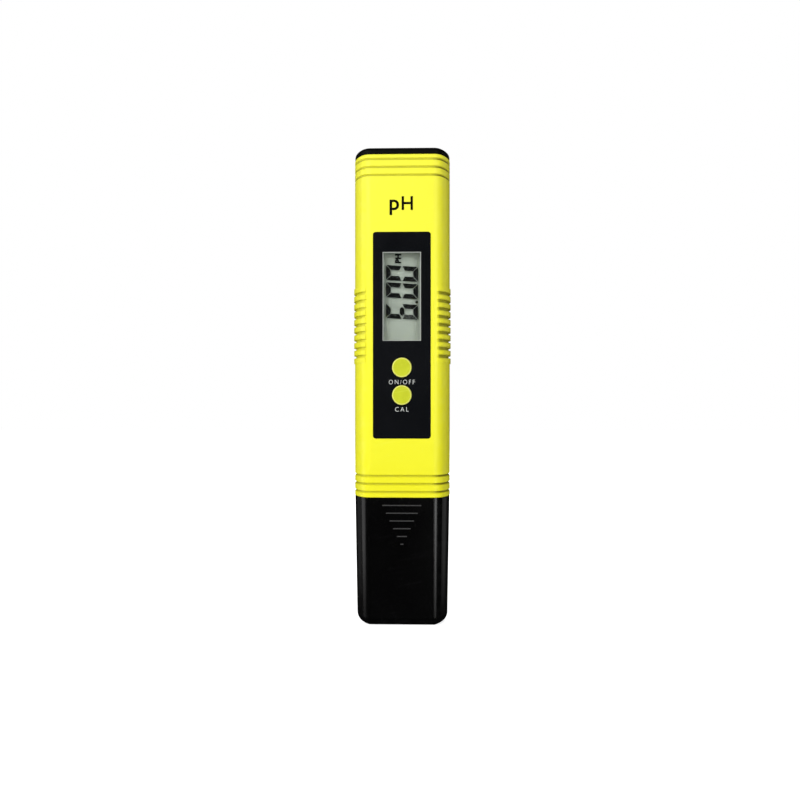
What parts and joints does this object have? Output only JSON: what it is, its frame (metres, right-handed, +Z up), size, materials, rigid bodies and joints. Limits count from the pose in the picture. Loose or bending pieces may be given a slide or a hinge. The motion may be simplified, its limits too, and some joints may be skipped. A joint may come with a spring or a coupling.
{
  "type": "digital ph meter",
  "caption": "Pen-type digital pH meter: yellow case with display and keys, black push-on cap over a glass probe, and a pull-out battery drawer.",
  "frame": {"origin": "centre of the cap's flat base, which the pen stands on", "axes": "+Z up the pen from the probe cap to the battery lid; -Y is the front with the display and keys; +X is to the right seen from the front"},
  "size_m": [0.0324, 0.0184, 0.1559],
  "materials": {
    "yellow_case": "semi-gloss moulded ABS, lemon yellow",
    "overlay_black": "glossy black printed overlay",
    "clear_lens": "clear acrylic",
    "frame_white": "white moulded frame",
    "front_film": "thin grey-green polarising film",
    "display_glass": "thin flat glass",
    "reflector_film": "grey-green reflective film",
    "contact_rubber": "banded conductive rubber",
    "board_green": "green solder mask on glass-fibre board",
    "chip_black": "epoxy package with tinned leads",
    "bright_can": "bright drawn metal can",
    "capacitor_tan": "tan ceramic with tinned ends",
    "resistor_black": "black glazed film with tinned ends",
    "switch_black": "moulded black nylon",
    "key_yellow": "satin moulded key, yellow-green",
    "cradle_plastic": "moulded dark grey ABS",
    "plated_steel": "nickel-plated steel",
    "nickel_strip": "nickel-plated spring strip",
    "black_lid": "semi-gloss moulded black",
    "seal_rubber": "soft black nitrile rubber",
    "tray_plastic": "moulded dark grey ABS",
    "black_cap": "glossy moulded black",
    "sponge_foam": "damp open-cell sponge",
    "collar_black": "satin moulded black",
    "electrode_black": "smooth black moulded tube",
    "electrode_glass": "thin blown laboratory glass",
    "silver_wire": "silver wire with a dull chloride coat",
    "white_ceramic": "porous white ceramic",
    "probe_steel": "drawn stainless tube",
    "bead_glass": "amber glass bead",
    "potting_resin": "cast off-white epoxy",
    "lead_white": "soft white insulation",
    "lead_blue": "soft blue insulation",
    "lead_red": "soft red insulation",
    "cell_steel": "polished nickel-plated cell can"
  },
  "bodies": {
    "root": {"protective_cap": "black_cap", "storage_sponge": "sponge_foam"},
    "power_key": {"power_button": "key_yellow", "power_switch_plunger": "switch_black"},
    "cal_key": {"cal_button": "key_yellow", "cal_switch_plunger": "switch_black"},
    "battery_drawer": {"battery_lid": "black_lid", "battery_lid_seal": "seal_rubber", "battery_tray": "tray_plastic", "button_cell_1": "cell_steel", "button_cell_2": "cell_steel", "button_cell_3": "cell_steel", "button_cell_4": "cell_steel", "tray_contact_positive": "nickel_strip", "tray_contact_negative": "nickel_strip", "cell_spring": "plated_steel"},
    "pen": {"battery_terminal_negative": "nickel_strip", "battery_terminal_positive": "nickel_strip", "cal_switch_base": "switch_black", "chassis": "cradle_plastic", "collar_seal": "seal_rubber", "crystal_can": "bright_can", "electrode_body": "electrode_black", "electrode_plug": "potting_resin", "electrode_seal": "seal_rubber", "front_fascia": "overlay_black", "glass_electrode": "electrode_glass", "inner_reference_wire": "silver_wire", "lcd_frame": "frame_white", "lcd_front_glass": "display_glass", "lcd_front_polariser": "front_film", "lcd_rear_glass": "display_glass", "lcd_rear_polariser": "reflector_film", "main_housing": "yellow_case", "main_pcb": "board_green", "mcu_chip": "chip_black", "opamp_chip": "chip_black", "outer_reference_wire": "silver_wire", "pcb_screws": "plated_steel", "power_switch_base": "switch_black", "probe_collar": "collar_black", "reference_junction": "white_ceramic", "reference_lead": "lead_blue", "signal_lead": "lead_white", "smd_capacitors": "capacitor_tan", "smd_resistors": "resistor_black", "temperature_probe": "probe_steel", "thermistor_bead": "bead_glass", "thermistor_leads": "lead_red", "window_lens": "clear_lens", "zebra_strip_left": "contact_rubber", "zebra_strip_right": "contact_rubber"}
  },
  "joints": [
    {"name": "cap_pull", "type": "slide", "parent": "root", "child": "pen", "axis": [0, 0, 1], "range_m": [0, 0.045]},
    {"name": "drawer_slide", "type": "slide", "parent": "pen", "child": "battery_drawer", "axis": [0, 0, 1], "range_m": [0, 0.018]},
    {"name": "power_press", "type": "slide", "parent": "pen", "child": "power_key", "axis": [0, 1, 0], "range_m": [0, 0.00035], "stiffness_N_per_m": 800, "springref_m": -0.0015},
    {"name": "cal_press", "type": "slide", "parent": "pen", "child": "cal_key", "axis": [0, 1, 0], "range_m": [0, 0.00035], "stiffness_N_per_m": 800, "springref_m": -0.0015}
  ]
}
